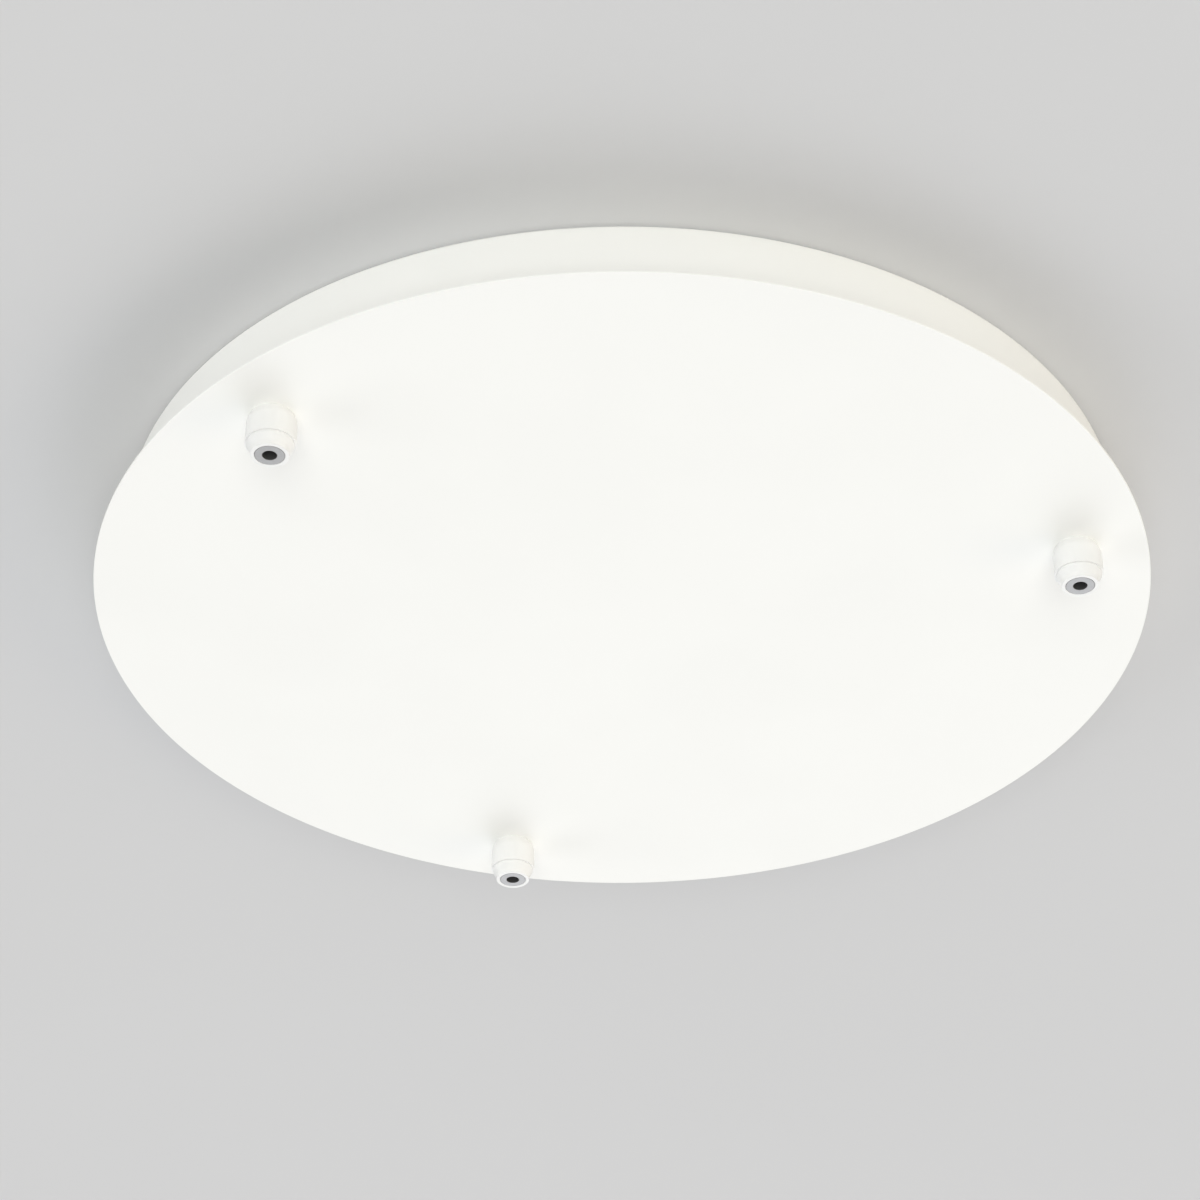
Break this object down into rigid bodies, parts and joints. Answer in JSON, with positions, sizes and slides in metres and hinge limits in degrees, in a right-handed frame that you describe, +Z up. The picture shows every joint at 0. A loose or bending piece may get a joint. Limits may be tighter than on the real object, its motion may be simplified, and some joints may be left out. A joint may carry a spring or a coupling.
{
  "type": "electrical ceiling rose",
  "caption": "Round flat white ceiling rose: a shallow steel pan, a disc cover held by magnets, and short cord grips for pendant cords.",
  "frame": {"origin": "centre of the ceiling slots, on the plane that meets the ceiling, on the rose's axis", "axes": "+Z up into the ceiling, +X along the long way of the ceiling slots, outlet 1 on -Y"},
  "size_m": [0.4, 0.4, 0.047],
  "materials": {
    "white_paint": "fine satin powder coat",
    "white_nylon": "smooth moulded",
    "grey_nylon": "smooth moulded",
    "zinc_steel": "zinc plated",
    "nickel_cup": "nickel plated",
    "dark_ferrite": "sintered and nickel plated",
    "block_plastic": "moulded",
    "brass": "turned",
    "rubber": "moulded"
  },
  "bodies": {
    "root": {"base_pan": "white_paint", "inlet_grommet": "rubber", "terminal_bracket": "zinc_steel", "terminal_block": "block_plastic", "terminal_screws": "zinc_steel", "block_screws": "zinc_steel", "block_nuts": "zinc_steel", "pan_earth_stud": "zinc_steel", "pan_earth_washer": "zinc_steel", "pan_earth_nut": "zinc_steel", "magnet_screws": "zinc_steel", "magnet_nuts": "zinc_steel", "terminal_sleeve_1": "brass", "terminal_sleeve_2": "brass", "terminal_sleeve_3": "brass", "magnet_bracket_1": "zinc_steel", "magnet_bracket_2": "zinc_steel", "magnet_bracket_3": "zinc_steel", "magnet_bracket_4": "zinc_steel", "magnet_bracket_5": "zinc_steel", "magnet_bracket_6": "zinc_steel", "magnet_cup_1": "nickel_cup", "magnet_cup_2": "nickel_cup", "magnet_cup_3": "nickel_cup", "magnet_cup_4": "nickel_cup", "magnet_cup_5": "nickel_cup", "magnet_cup_6": "nickel_cup", "magnet_ring_1": "dark_ferrite", "magnet_ring_2": "dark_ferrite", "magnet_ring_3": "dark_ferrite", "magnet_ring_4": "dark_ferrite", "magnet_ring_5": "dark_ferrite", "magnet_ring_6": "dark_ferrite"},
    "cover": {"cover_plate": "white_paint", "cover_earth_stud": "zinc_steel", "cover_earth_washer": "zinc_steel", "cover_earth_nut": "zinc_steel", "locating_lug_1": "zinc_steel", "locating_lug_2": "zinc_steel", "locating_lug_3": "zinc_steel", "grip_body_1": "white_nylon", "grip_body_2": "white_nylon", "grip_body_3": "white_nylon", "grip_washer_1": "zinc_steel", "grip_washer_2": "zinc_steel", "grip_washer_3": "zinc_steel", "grip_locknut_1": "zinc_steel", "grip_locknut_2": "zinc_steel", "grip_locknut_3": "zinc_steel"},
    "collet_1_body": {"collet_1": "grey_nylon"},
    "cap_1_body": {"grip_cap_1": "white_nylon"},
    "collet_2_body": {"collet_2": "grey_nylon"},
    "cap_2_body": {"grip_cap_2": "white_nylon"},
    "collet_3_body": {"collet_3": "grey_nylon"},
    "cap_3_body": {"grip_cap_3": "white_nylon"}
  },
  "joints": [
    {"name": "cover_pull", "type": "slide", "parent": "root", "child": "cover", "axis": [0, 0, -1], "range_m": [0, 0.06]},
    {"name": "collet_1_slide", "type": "slide", "parent": "cover", "child": "collet_1_body", "axis": [0, 0, -1], "range_m": [0, 0.002]},
    {"name": "cap_1_turn", "type": "hinge", "parent": "collet_1_body", "child": "cap_1_body", "pos_m": [0, -0.174, -0.044], "axis": [0, 0, -1], "range_deg": [0, 720]},
    {"name": "collet_2_slide", "type": "slide", "parent": "cover", "child": "collet_2_body", "axis": [0, 0, -1], "range_m": [0, 0.002]},
    {"name": "cap_2_turn", "type": "hinge", "parent": "collet_2_body", "child": "cap_2_body", "pos_m": [0.15069, 0.087, -0.044], "axis": [0, 0, -1], "range_deg": [0, 720]},
    {"name": "collet_3_slide", "type": "slide", "parent": "cover", "child": "collet_3_body", "axis": [0, 0, -1], "range_m": [0, 0.002]},
    {"name": "cap_3_turn", "type": "hinge", "parent": "collet_3_body", "child": "cap_3_body", "pos_m": [-0.15069, 0.087, -0.044], "axis": [0, 0, -1], "range_deg": [0, 720]}
  ],
  "couplings": [
    {"joint": "cap_1_turn", "follows": "collet_1_slide", "rad_per_m": 6283.2},
    {"joint": "cap_2_turn", "follows": "collet_2_slide", "rad_per_m": 6283.2},
    {"joint": "cap_3_turn", "follows": "collet_3_slide", "rad_per_m": 6283.2}
  ]
}
